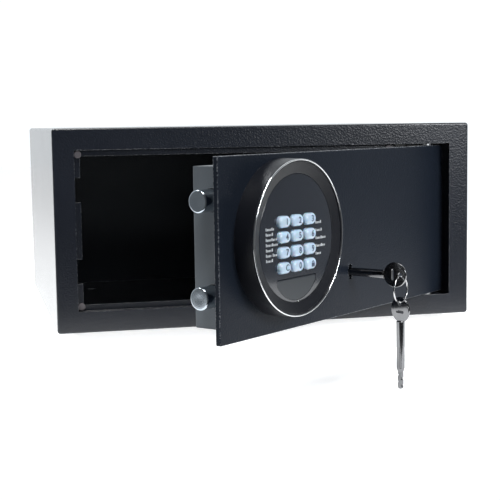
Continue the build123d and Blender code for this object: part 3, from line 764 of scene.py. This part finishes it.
class RepeatTree:
    """A Geometry Nodes tree that sets one small shape on the points of a mesh."""

    def __init__(self, name: str, sizes: dict[str, float]) -> None:
        """Starts the tree with a geometry input and named size inputs.

        Args:
            name: The tree's name.
            sizes: Each size input and its value.
        """
        self.tree = bpy.data.node_groups.new(name, "GeometryNodeTree")
        self.sizes = sizes
        face = self.tree.interface
        face.new_socket("Geometry", in_out="INPUT", socket_type="NodeSocketGeometry")
        self.ids = {label: face.new_socket(label, in_out="INPUT", socket_type="NodeSocketFloat").identifier
                    for label in sizes}
        self.stuff = face.new_socket("Material", in_out="INPUT", socket_type="NodeSocketMaterial").identifier
        face.new_socket("Geometry", in_out="OUTPUT", socket_type="NodeSocketGeometry")
        self.given = self.tree.nodes.new("NodeGroupInput")
        self.result = self.tree.nodes.new("NodeGroupOutput")

    def add(self, kind: str, **settings) -> bpy.types.Node:
        """Adds a node with its settings and returns it."""
        return add_node(self.tree, kind, **settings)

    def link(self, source: bpy.types.NodeSocket, target: bpy.types.NodeSocket) -> None:
        """Links two sockets."""
        self.tree.links.new(source, target)

    def finish(self, shape: bpy.types.NodeSocket, scale: bpy.types.NodeSocket | None = None) -> None:
        """Sets the shape on each point, makes the copies real and gives them the material.

        Args:
            shape: The geometry to repeat.
            scale: A vector that scales each copy.
        """
        spread = self.add("GeometryNodeInstanceOnPoints")
        self.link(self.given.outputs["Geometry"], spread.inputs["Points"])
        self.link(shape, spread.inputs["Instance"])
        if scale is not None:
            self.link(scale, spread.inputs["Scale"])
        real = self.add("GeometryNodeRealizeInstances")
        dress = self.add("GeometryNodeSetMaterial")
        self.link(spread.outputs["Instances"], real.inputs["Geometry"])
        self.link(real.outputs["Geometry"], dress.inputs["Geometry"])
        self.link(self.given.outputs["Material"], dress.inputs["Material"])
        self.link(dress.outputs["Geometry"], self.result.inputs["Geometry"])

    def grow(self, name: str, points: Sequence[Point], finish: str, place: Matrix,
             widths: Sequence[float] = (), heights: Sequence[float] = ()) -> bpy.types.Object:
        """Runs the tree on a set of points and returns the plain mesh.

        Args:
            name: The new object's name.
            points: Where the copies go.
            finish: The name of their finish.
            place: Where the whole set goes.
            widths: A width for each copy, kept as the attribute "width".
            heights: A height for each copy, kept as the attribute "height".

        Returns:
            A plain mesh object at the origin.
        """
        seed = bpy.data.meshes.new(name + "_points")
        seed.from_pydata([tuple(p) for p in points], [], [])
        for label, values in (("width", widths), ("height", heights or [1.0] * len(widths))):
            if values:
                seed.attributes.new(label, "FLOAT", "POINT").data.foreach_set("value", list(values))
        holder = bpy.data.objects.new(name + "_points", seed)
        bpy.context.scene.collection.objects.link(holder)
        modifier = holder.modifiers.new("repeat", "NODES")
        modifier.node_group = self.tree
        for label, value in self.sizes.items():
            modifier[self.ids[label]] = value
        modifier[self.stuff] = finish_material(finish)
        bpy.context.view_layer.update()
        made = bpy.data.meshes.new_from_object(holder.evaluated_get(bpy.context.evaluated_depsgraph_get()))
        holder.modifiers.remove(modifier)
        bpy.data.objects.remove(holder)
        made.transform(place)
        return plain_object(name, made)


def screw_tree(radius: float, height: float) -> RepeatTree:
    """Pan head screws: a low domed disc with a cross recess, facing local z.

    Args:
        radius: The head's radius.
        height: The head's height.

    Returns:
        The tree, ready to grow.
    """
    tree = RepeatTree("pan_head_screws", {"Head Radius": radius, "Head Height": height,
                                          "Slot Width": radius * 0.24})
    rim = tree.add("GeometryNodeMeshCone")
    rim.inputs["Vertices"].default_value = 40
    top = add_math(tree.tree, "MULTIPLY", tree.given.outputs["Head Radius"], 0.78)
    tree.link(top, rim.inputs["Radius Top"])
    tree.link(tree.given.outputs["Head Radius"], rim.inputs["Radius Bottom"])
    tree.link(tree.given.outputs["Head Height"], rim.inputs["Depth"])
    cross = []
    for turn in (0.0, math.pi / 2):
        bar = tree.add("GeometryNodeMeshCube")
        size = tree.add("ShaderNodeCombineXYZ")
        tree.link(add_math(tree.tree, "MULTIPLY", tree.given.outputs["Head Radius"], 1.1), size.inputs["X"])
        tree.link(tree.given.outputs["Slot Width"], size.inputs["Y"])
        tree.link(tree.given.outputs["Head Height"], size.inputs["Z"])
        tree.link(size.outputs["Vector"], bar.inputs["Size"])
        lift = tree.add("GeometryNodeTransform")
        tree.link(bar.outputs["Mesh"], lift.inputs["Geometry"])
        lift.inputs["Rotation"].default_value = (0, 0, turn)
        up = tree.add("ShaderNodeCombineXYZ")
        tree.link(tree.given.outputs["Head Height"], up.inputs["Z"])
        tree.link(up.outputs["Vector"], lift.inputs["Translation"])
        cross.append(lift.outputs["Geometry"])
    cut = tree.add("GeometryNodeMeshBoolean", operation="DIFFERENCE")
    tree.link(rim.outputs["Mesh"], cut.inputs["Mesh 1"])
    for bar in cross:
        tree.link(bar, cut.inputs["Mesh 2"])
    tree.finish(cut.outputs["Mesh"])
    return tree


def bar_tree(height: float, thickness: float) -> RepeatTree:
    """Small printed or moulded bars, sized by the attributes "width" and "height" of their points.

    Args:
        height: A bar's height.
        thickness: How thick it is.

    Returns:
        The tree, ready to grow.
    """
    tree = RepeatTree("small_bars", {"Bar Height": height, "Bar Thickness": thickness})
    bar = tree.add("GeometryNodeMeshCube")
    size = tree.add("ShaderNodeCombineXYZ")
    size.inputs["X"].default_value = 1.0
    tree.link(tree.given.outputs["Bar Height"], size.inputs["Y"])
    tree.link(tree.given.outputs["Bar Thickness"], size.inputs["Z"])
    tree.link(size.outputs["Vector"], bar.inputs["Size"])
    scale = tree.add("ShaderNodeCombineXYZ")
    scale.inputs["Z"].default_value = 1.0
    for label, side in (("width", "X"), ("height", "Y")):
        own = tree.add("GeometryNodeInputNamedAttribute", data_type="FLOAT")
        own.inputs["Name"].default_value = label
        tree.link(own.outputs["Attribute"], scale.inputs[side])
    tree.finish(bar.outputs["Mesh"], scale.outputs["Vector"])
    return tree


# ---------------------------------------------------------------- sub-assemblies

def out_of_door(x: float, y: float, z: float) -> Matrix:
    """A place on the door whose local z points out of the door and local y is up.

    Args:
        x: Along the door.
        y: Into the door.
        z: Height.

    Returns:
        The matrix to the row frame.
    """
    return AXES.to_world @ Matrix.Translation((x, y, z)) @ Matrix.Rotation(math.pi / 2, 4, "X")


@dataclass
class Case:
    """The steel case with its frame, stop lip and hinge tabs."""

    edge: float = 0.5 * MM
    fine_edge: float = 0.3 * MM
    carried: tuple[str, ...] = ("back_panel", "pivot_tabs", "strike_angle", "hinge_washers", "corner_bumpers")

    def build(self) -> None:
        """Makes the rounded steelwork and dresses what is carried over."""
        solid_copy("body_shell", self.edge)
        solid_copy("stop_frame", self.fine_edge)
        dress(self.carried)


def dress(nodes: Iterable[str]) -> None:
    """Gives CAD nodes the material of their slot."""
    for node in nodes:
        data = frame["nodes"][node].data
        data.materials.clear()
        data.materials.append(finish_material(slot_of(node)))


@dataclass
class DoorLeaf:
    """The door plate, the lock box behind it and what is fixed to them."""

    plate_edge: float = 0.5 * MM
    box_edge: float = 0.35 * MM
    rib_height: float = 0.9 * MM
    rib_gap: float = 3.2 * MM
    rib_count: int = 7
    carried: tuple[str, ...] = (
        "hinge_ears", "hinge_pins", "cover_pillars", "bolt_guides", "guide_studs", "gear_motor",
        "motor_saddle", "lock_cylinder", "battery_case", "batteries", "key_mat", "circuit_board",
        "board_pillars",
        "display_module", "service_socket", "keypad_screws", "bolt_carriage", "bolt_nuts", "motor_pinion",
        "key_pinion", "plug_nut", "key_plug",
    )

    def build(self) -> None:
        """Makes the plate, the box, its hatch, screws and grip ribs."""
        solid_copy("door_plate", self.plate_edge)
        solid_copy("lock_box", self.box_edge)
        solid_copy("battery_hatch", self.box_edge)
        dress(self.carried)
        self.screws()
        self.hatch_ribs()

    def screws(self) -> None:
        """Sets the pan head screws on the back of the box."""
        low, high = AXES.box("cover_screws")
        radius = 3.4 * MM
        back = AXES.box("lock_box")[1].y
        height = high.y - back
        tree = screw_tree(radius, height)
        across = (low.x + radius, high.x - radius)
        upward = (low.z + radius, high.z - radius)
        places = [(x, z, 0.0) for x in across for z in upward]
        place = AXES.to_world @ Matrix.Translation((0, back, 0)) @ Matrix(
            ((1, 0, 0, 0), (0, 0, 1, 0), (0, 1, 0, 0), (0, 0, 0, 1)))
        made = tree.grow("cover_screw_heads", places, "zinc", place)
        made.data.flip_normals()
        finish_piece(made, "door", "zinc", "cover_screws")

    def hatch_ribs(self) -> None:
        """Sets a row of grip ribs on the battery hatch."""
        low, high = AXES.box("battery_hatch")
        count, length = self.rib_count, 0.018
        start = high.x - 0.012 - count * self.rib_gap
        middle = (low.z + high.z) / 2
        places = [(middle, start + i * self.rib_gap, 0.0) for i in range(count)]
        tree = bar_tree(1.2 * MM, self.rib_height)
        place = AXES.to_world @ Matrix.Translation((0, high.y, 0)) @ Matrix(
            ((0, 1, 0, 0), (0, 0, 1, 0), (1, 0, 0, 0), (0, 0, 0, 1)))
        made = tree.grow("hatch_grip_ribs", places, "box_coat", place, [length] * count)
        finish_piece(rounded_edges(made, 0.3 * MM, 2), "door", "box_coat")


@dataclass
class Bolts:
    """The two round locking bolts."""

    chamfer: float = 0.9 * MM
    nodes: tuple[str, ...] = ("lower_bolt", "upper_bolt")

    def build(self) -> None:
        """Turns each bolt on its own axis."""
        for node in self.nodes:
            low, high = AXES.box(node)
            radius, length = (high.z - low.z) / 2, high.x - low.x
            middle = (low + high) / 2
            place = AXES.to_world @ Matrix.Translation((low.x, middle.y, middle.z)) @ Matrix.Rotation(
                math.pi / 2, 4, "Y")
            c, tail = self.chamfer, 4.0 * MM
            shoulder = length - 8.0 * MM
            profile = [(0, 0.12 * MM), (radius * 0.3, 0.06 * MM), (radius - c * 1.4, 0),
                       (radius - c, 0.04 * MM), (radius - c * 0.45, 0.3 * MM), (radius - 0.05 * MM, c),
                       (radius, c * 1.5),
                       (radius, shoulder - 0.4 * MM), (radius - 0.4 * MM, shoulder), (tail, shoulder),
                       (tail, length - 0.4 * MM), (tail - 0.4 * MM, length), (0, length)]
            bolt = lathe(f"{node}_turned", profile, place)
            finish_piece(rounded_edges(bolt, 0.12 * MM, 2, 50.0), "bolt_slide", "bolt_nickel", node)


class Mark(Enum):
    """What is printed on a key that has no figure."""

    CLEAR = "C"
    LOCK = "lock"


@dataclass
class Keypad:
    """The round keypad: drum, bright ring, face, keys, figures and help lines."""

    key_corner: float = 4.9 * MM
    pillow_width: float = 3.4 * MM
    pillow_height: float = 2.7 * MM
    pillow_steps: int = 10
    figure_height: float = 5.6 * MM
    mark_shift: float = 1.6 * MM
    text_to_figure: float = 1.35
    figure_bold: float = 0.15 * MM
    drape_step: float = 0.4 * MM
    drape_rounds: int = 4
    ink: float = 0.14 * MM
    rim_width: float = 1.25 * MM
    help_height: float = 2.5 * MM
    letter_pitch: float = 2.1 * MM
    help_left: tuple[tuple[float, ...], ...] = (
        (12.5,), (11.0,), (18.5,), (17.5,), (10.5,), (8.4, 9.2), (10.5,))
    help_right: tuple[tuple[float, ...], ...] = ((9.5,), (10.5,), (16.5,), (15.5,), (9.0,))
    figures: dict[str, str] = field(default_factory=lambda: {f"key_{i}": str(i) for i in range(10)})

    def build(self) -> None:
        """Makes the drum, the ring, the face, its keys and its print."""
        solid_copy("keypad_housing", 0.35 * MM)
        solid_copy("keypad_panel", 0.22 * MM)
        dress(("flap_pin", "flap_screw"))
        self.bright_rim()
        solid_copy("service_flap", 0.22 * MM)
        for node in sorted(frame["nodes"]):
            if body_of(node).endswith("_cap"):
                self.key(node)
        self.help_lines()

    def bright_rim(self) -> None:
        """Turns the slim bright rim and the dark bed that it is pressed on."""
        low, high = AXES.box("chrome_ring")
        outer, back, front = (high.x - low.x) / 2 - 0.15 * MM, high.y, low.y + 0.1 * MM
        thick, wide = back - front, self.rim_width
        inner = outer - 2.45 * MM
        middle = (low + high) / 2
        place = out_of_door(middle.x, back, middle.z)
        centre, half = outer - wide / 2, wide / 2
        crown = [(centre + half * math.cos(a), thick - half + half * math.sin(a))
                 for a in (math.pi * i / 10 for i in range(11))]
        rim = lathe("bright_rim", [(outer, 0.0), *crown, (outer - wide, 0.0)], place, 192)
        finish_piece(rim, "door", "bezel_chrome", "chrome_ring")
        bed_top = thick - 0.45 * MM
        bed = lathe("rim_bed", [(outer - wide - 0.02 * MM, 0.0), (outer - wide - 0.02 * MM, bed_top),
                                (inner + 0.3 * MM, bed_top), (inner, bed_top - 0.3 * MM), (inner, 0.0)],
                    place, 192)
        finish_piece(bed, "door", "dark_moulding")

    def key(self, node: str) -> None:
        """Makes one pillowed key cap with its mark.

        Args:
            node: The key's CAD node.
        """
        low, high = AXES.box(node)
        flange = 0.7 * MM
        width, tall = high.x - low.x - 2 * flange, high.z - low.z - 2 * flange
        depth = high.y - low.y - self.ink
        middle = (low + high) / 2
        place = out_of_door(middle.x, high.y, middle.z)

        def outline(inset: float) -> list[tuple[float, float]]:
            """The cap's outline, drawn in by an inset."""
            return rounded_outline(width - 2 * inset, tall - 2 * inset,
                                   max(self.key_corner - inset, 0.2 * MM))

        rim = 0.9 * MM
        levels = [(outline(-flange), 0), (outline(-flange), rim), (outline(0), rim)]
        for step in range(self.pillow_steps + 1):
            a = math.pi / 2 * step / self.pillow_steps
            levels.append((outline(self.pillow_width * (1 - math.cos(a))),
                           depth - self.pillow_height * (1 - math.sin(a))))
        cap = stacked(f"{node}_cap", levels, place)
        finish_piece(cap, body_of(node), "key_cap", node)
        mark = self.figures.get(node, Mark.CLEAR.value if node == "key_clear" else Mark.LOCK.value)
        print_piece = self.padlock(node) if mark == Mark.LOCK.value else self.figure(node, mark)
        self.lay_on(print_piece, cap, middle)
        finish_piece(print_piece, body_of(node), "key_cap", ink="figure_ink")

    def figure(self, node: str, text: str) -> bpy.types.Object:
        """Makes a figure or letter as a thin solid, flat on the local xy plane.

        Args:
            node: The key's CAD node.
            text: What it says.

        Returns:
            The solid.
        """
        curve = bpy.data.curves.new(f"{node}_figure", "FONT")
        curve.body = text
        curve.size = self.figure_height * self.text_to_figure
        curve.align_x = "CENTER"
        curve.align_y = "CENTER"
        curve.extrude = self.ink / 2
        curve.offset = self.figure_bold
        holder = bpy.data.objects.new(f"{node}_figure_text", curve)
        bpy.context.scene.collection.objects.link(holder)
        bpy.context.view_layer.update()
        mesh = bpy.data.meshes.new_from_object(holder.evaluated_get(bpy.context.evaluated_depsgraph_get()))
        bpy.data.objects.remove(holder)
        return plain_object(f"{node}_figure", mesh)

    def padlock(self, node: str) -> bpy.types.Object:
        """Makes a small padlock mark as thin solids, flat on the local xy plane.

        Args:
            node: The key's CAD node.

        Returns:
            The solids, as one object.
        """
        half = self.figure_height * 0.42
        body = rounded_outline(2 * half, 1.5 * half, 0.3 * half, 3)
        bottom = [(x, y - 0.5 * half) for x, y in body]
        n = len(bottom)
        points = [(x, y, h) for h in (-self.ink / 2, self.ink / 2) for x, y in bottom]
        faces = [tuple(reversed(range(n))), tuple(range(n, 2 * n))]
        faces += [(i, (i + 1) % n, (i + 1) % n + n, i + n) for i in range(n)]
        steps, base = 10, len(points)
        for i in range(steps + 1):
            a = math.pi * i / steps
            for r in (0.45 * half, 0.75 * half):
                for h in (-self.ink / 2, self.ink / 2):
                    points.append((r * math.cos(a), 0.25 * half + 1.1 * r * math.sin(a), h))
        for i in range(steps):
            a, b = base + 4 * i, base + 4 * (i + 1)
            faces += [(a, a + 1, b + 1, b), (a + 2, b + 2, b + 3, a + 3), (a, b, b + 2, a + 2),
                      (a + 1, a + 3, b + 3, b + 1)]
        faces += [(base, base + 2, base + 3, base + 1),
                  (base + 4 * steps, base + 4 * steps + 1, base + 4 * steps + 3, base + 4 * steps + 2)]
        return mesh_from(f"{node}_mark", points, faces)

    def lay_on(self, mark: bpy.types.Object, cap: bpy.types.Object, middle: Vector) -> None:
        """Drapes a flat mark over the pillow of a cap, half sunk in it.

        Args:
            mark: The mark, flat on its local xy plane.
            cap: The cap, in the row frame.
            middle: The middle of the key, in the door's axes.
        """
        fine = bmesh.new()
        fine.from_mesh(mark.data)
        bmesh.ops.triangulate(fine, faces=fine.faces)
        for _ in range(self.drape_rounds):
            long_edges = [edge for edge in fine.edges if edge.calc_length() > self.drape_step]
            bmesh.ops.subdivide_edges(fine, edges=long_edges, cuts=1)
            bmesh.ops.triangulate(fine, faces=fine.faces)
        fine.to_mesh(mark.data)
        fine.free()
        tree = BVHTree.FromObject(cap, bpy.context.evaluated_depsgraph_get())
        place = out_of_door(middle.x + self.mark_shift, 0, middle.z)
        outward = (place.to_3x3() @ Vector((0, 0, 1))).normalized()
        for vertex in mark.data.vertices:
            start = place @ Vector((vertex.co.x, vertex.co.y, 0.06))
            hit = tree.ray_cast(start, -outward)[0]
            vertex.co = (hit or start) + outward * (vertex.co.z + self.ink * 0.45)

    def help_lines(self) -> None:
        """Sets the two blocks of printed help lines beside the keys, as word-like bars."""
        face = AXES.box("keypad_panel")[0].y
        one, three = AXES.middle("key_1"), AXES.middle("key_3")
        bottom = AXES.middle("key_clear").z
        places: list[Point] = []
        widths: list[float] = []
        heights: list[float] = []
        blocks = ((one.x - 24.6 * MM, self.help_left, one.z - 4.9 * MM, bottom + 7.8 * MM),
                  (three.x + 10.9 * MM, self.help_right, three.z - 4.0 * MM, bottom + 7.6 * MM))
        for left, rows, top, low in blocks:
            for i, words in enumerate(rows):
                z = top + (low - top) * i / (len(rows) - 1)
                x = left
                for word in words:
                    for x_part, part, tall in self.letters(x, word * MM):
                        places.append((x_part, z + (tall - 1) * self.help_height / 2, 0.0))
                        widths.append(part)
                        heights.append(tall)
                    x += (word + 1.2) * MM
        tree = bar_tree(self.help_height, self.ink * 0.5)
        place = AXES.to_world @ Matrix.Translation((0, face, 0)) @ Matrix.Rotation(math.pi / 2, 4, "X")
        made = tree.grow("help_print", places, "print_ink", place, widths, heights)
        finish_piece(made, "door", "face_gloss", ink="print_ink")

    def letters(self, start: float, length: float) -> list[tuple[float, float, float]]:
        """Splits a word into letter-like bars, as (middle, width, part of the full height)."""
        count = max(1, round(length / self.letter_pitch))
        step = length / count
        return [(start + (i + 0.5) * step, step * (0.7 if i % 3 else 0.5), 1.0 if i % 4 == 0 else 0.68)
                for i in range(count)]


@dataclass
class Keys:
    """The override key, its spare and the split ring that joins them."""

    wire: float = 0.46 * MM
    steps: int = 72
    round_steps: int = 10

    def build(self) -> None:
        """Dresses both keys and winds the ring."""
        dress(("override_key", "spare_key"))
        self.split_ring()

    def split_ring(self) -> None:
        """Winds two close turns of wire with overlapping ends."""
        low, high = AXES.box("key_ring")
        middle = (low + high) / 2
        radius = (high.z - low.z) / 2 - 0.95 * MM
        turns = 2
        count = self.steps * turns
        points, faces = [], []
        for i in range(count + 1):
            turn = i / self.steps
            a = 2 * math.pi * turn - 0.9
            drift = (turn / turns - 0.5) * 2 * self.wire * 1.0
            centre = Vector((radius * math.cos(a), drift, radius * math.sin(a)))
            outward = Vector((math.cos(a), 0, math.sin(a)))
            for k in range(self.round_steps):
                b = 2 * math.pi * k / self.round_steps
                points.append(centre + self.wire * (outward * math.cos(b) + Vector((0, math.sin(b), 0))))
        n = self.round_steps
        for i in range(count):
            for k in range(n):
                a, b = i * n + k, i * n + (k + 1) % n
                faces.append((a, b, b + n, a + n))
        faces += [tuple(range(n)), tuple(range(count * n, count * n + n))]
        ring = mesh_from("split_ring", points, faces, AXES.to_world @ Matrix.Translation(middle))
        finish_piece(ring, "ring", "ring_steel", "key_ring")


# ---------------------------------------------------------------- studio

@dataclass
class Studio:
    """The pale floor, plinth, soft lights and camera."""

    camera_place: Point = (-0.3003, -1.3523, 0.2037)
    camera_turn: Point = (83.907, -0.831, -13.468)
    focal_length: float = 86.28
    floor_drop: float = 0.003
    floor_back: float = 6.0
    floor_left: float = 0.75
    floor_front: float = 0.5
    floor_right: float = 0.8
    plinth_inset: float = 0.02
    glow: float = 0.62
    backdrop: Colour = (0.93, 0.97, 1.0)
    surround: tuple[tuple[float, float], ...] = ((0.0, 0.06), (0.4, 0.13), (0.55, 0.24), (0.8, 1.0),
                                                 (1.0, 1.0))

    def build(self) -> None:
        """Makes the whole studio."""
        self.floor()
        self.lights()
        self.world()
        self.camera()

    def floor(self) -> None:
        """Lays the floor under the hanging key, and the plinth under the case."""
        drop = CAD_BOX[0][2] - self.floor_drop
        left, right, back = -self.floor_left, self.floor_right, self.floor_back
        front = -self.floor_front
        corners = [(left, front, drop), (right, front, drop), (right, back, drop), (left, back, drop)]
        floor = mesh_from("studio_floor", corners, [(0, 1, 2, 3)])
        low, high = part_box("body_shell")
        inset = self.plinth_inset
        x, y = (low.x + inset, high.x - inset), (low.y + inset, high.y - inset)
        points = [(a, b, c) for a in x for b in y for c in (drop, low.z - 0.0002)]
        faces = [(0, 1, 3, 2), (4, 6, 7, 5), (0, 4, 5, 1), (2, 3, 7, 6), (0, 2, 6, 4), (1, 5, 7, 3)]
        plinth = mesh_from("studio_plinth", points, faces)
        for obj in (floor, plinth):
            surface = Surface(obj.name)
            surface.plain(Base_Color=(0.85, 0.86, 0.87), Roughness=0.6, Specular_IOR_Level=0.1,
                          Emission_Color=(1.0, 1.0, 1.0), Emission_Strength=self.glow)
            obj.data.materials.append(surface.material)

    def area(self, name: str, place: Point, target: Point, size: tuple[float, float], power: float,
             colour: Colour = (1.0, 1.0, 1.0)) -> None:
        """Hangs a soft rectangular light.

        Args:
            name: The light's name.
            place: Where it hangs.
            target: The point that it faces.
            size: Its width and height.
            power: Its power in watts.
            colour: Its colour.
        """
        light = bpy.data.lights.new(name, "AREA")
        light.shape = "RECTANGLE"
        light.size, light.size_y = size
        light.energy = power
        light.color = colour
        obj = bpy.data.objects.new(name, light)
        bpy.context.scene.collection.objects.link(obj)
        obj.location = place
        obj.rotation_euler = (Vector(target) - Vector(place)).to_track_quat("-Z", "Y").to_euler()

    def lights(self) -> None:
        """Hangs the key, fill and side lights."""
        middle = (0.0, -0.2, 0.1)
        self.area("front_light", (-0.35, -0.95, 1.85), middle, (0.8, 0.6), 36.0, (1.0, 0.99, 0.97))
        self.area("rear_left_light", (-0.8, 0.6, 1.9), (-0.05, -0.3, 0.15), (0.42, 0.42), 13.0,
                  (0.94, 0.97, 1.0))
        self.area("right_light", (0.62, -1.05, 0.44), (0.2, -0.2, 0.18), (0.3, 0.26), 6.5, (0.96, 0.98, 1.0))

    def world(self) -> None:
        """Surrounds the safe with white that is brighter behind it than in front."""
        world = bpy.data.worlds.new("studio")
        bpy.context.scene.world = world
        world.use_nodes = True
        tree = world.node_tree
        shade = tree.nodes["Background"]
        place = add_node(tree, "ShaderNodeTexCoord")
        parts = add_node(tree, "ShaderNodeSeparateXYZ")
        tree.links.new(place.outputs["Generated"], parts.inputs["Vector"])
        span = add_node(tree, "ShaderNodeMapRange")
        span.inputs["From Min"].default_value = -1.0
        span.inputs["From Max"].default_value = 1.0
        tree.links.new(parts.outputs["Y"], span.inputs["Value"])
        ramp = add_node(tree, "ShaderNodeValToRGB")
        for stop, (place_on, level) in zip(self.stops(ramp), self.surround):
            stop.position = place_on
            stop.color = (level, level, level, 1.0)
        tree.links.new(span.outputs["Result"], ramp.inputs["Fac"])
        seen = add_node(tree, "ShaderNodeLightPath")
        seen_level = add_math(tree, "MULTIPLY", seen.outputs["Is Camera Ray"], 1.12)
        level = add_math(tree, "MAXIMUM", ramp.outputs["Color"], seen_level)
        tree.links.new(level, shade.inputs["Strength"])
        shade.inputs["Color"].default_value = (*self.backdrop, 1.0)

    def stops(self, ramp: bpy.types.Node) -> list[bpy.types.ColorRampElement]:
        """As many stops on a ramp as the surround has levels."""
        elements = ramp.color_ramp.elements
        while len(elements) < len(self.surround):
            elements.new(0.5)
        return list(elements)

    def camera(self) -> None:
        """Stands the camera where the safe is seen from the front left."""
        data = bpy.data.cameras.new("camera")
        data.lens = self.focal_length
        data.sensor_width = 36.0
        obj = bpy.data.objects.new("camera", data)
        bpy.context.scene.collection.objects.link(obj)
        obj.location = self.camera_place
        pitch, roll, yaw = (math.radians(a) for a in self.camera_turn)
        turn = Matrix.Rotation(yaw, 4, "Z") @ Matrix.Rotation(pitch, 4, "X") @ Matrix.Rotation(roll, 4, "Z")
        obj.matrix_world = Matrix.Translation(self.camera_place) @ turn
        bpy.context.scene.camera = obj


def main() -> None:
    """Builds every sub-assembly in order."""
    logging.basicConfig(level=logging.INFO, format="%(name)s: %(message)s")
    bpy.context.scene.view_settings.view_transform = "Standard"
    for assembly in (Case(), DoorLeaf(), Bolts(), Keypad(), Keys(), Studio()):
        before = len(bpy.data.objects)
        assembly.build()
        LOG.info("%s: %d pieces", type(assembly).__name__, len(bpy.data.objects) - before)


if __name__ == "__main__":
    main()
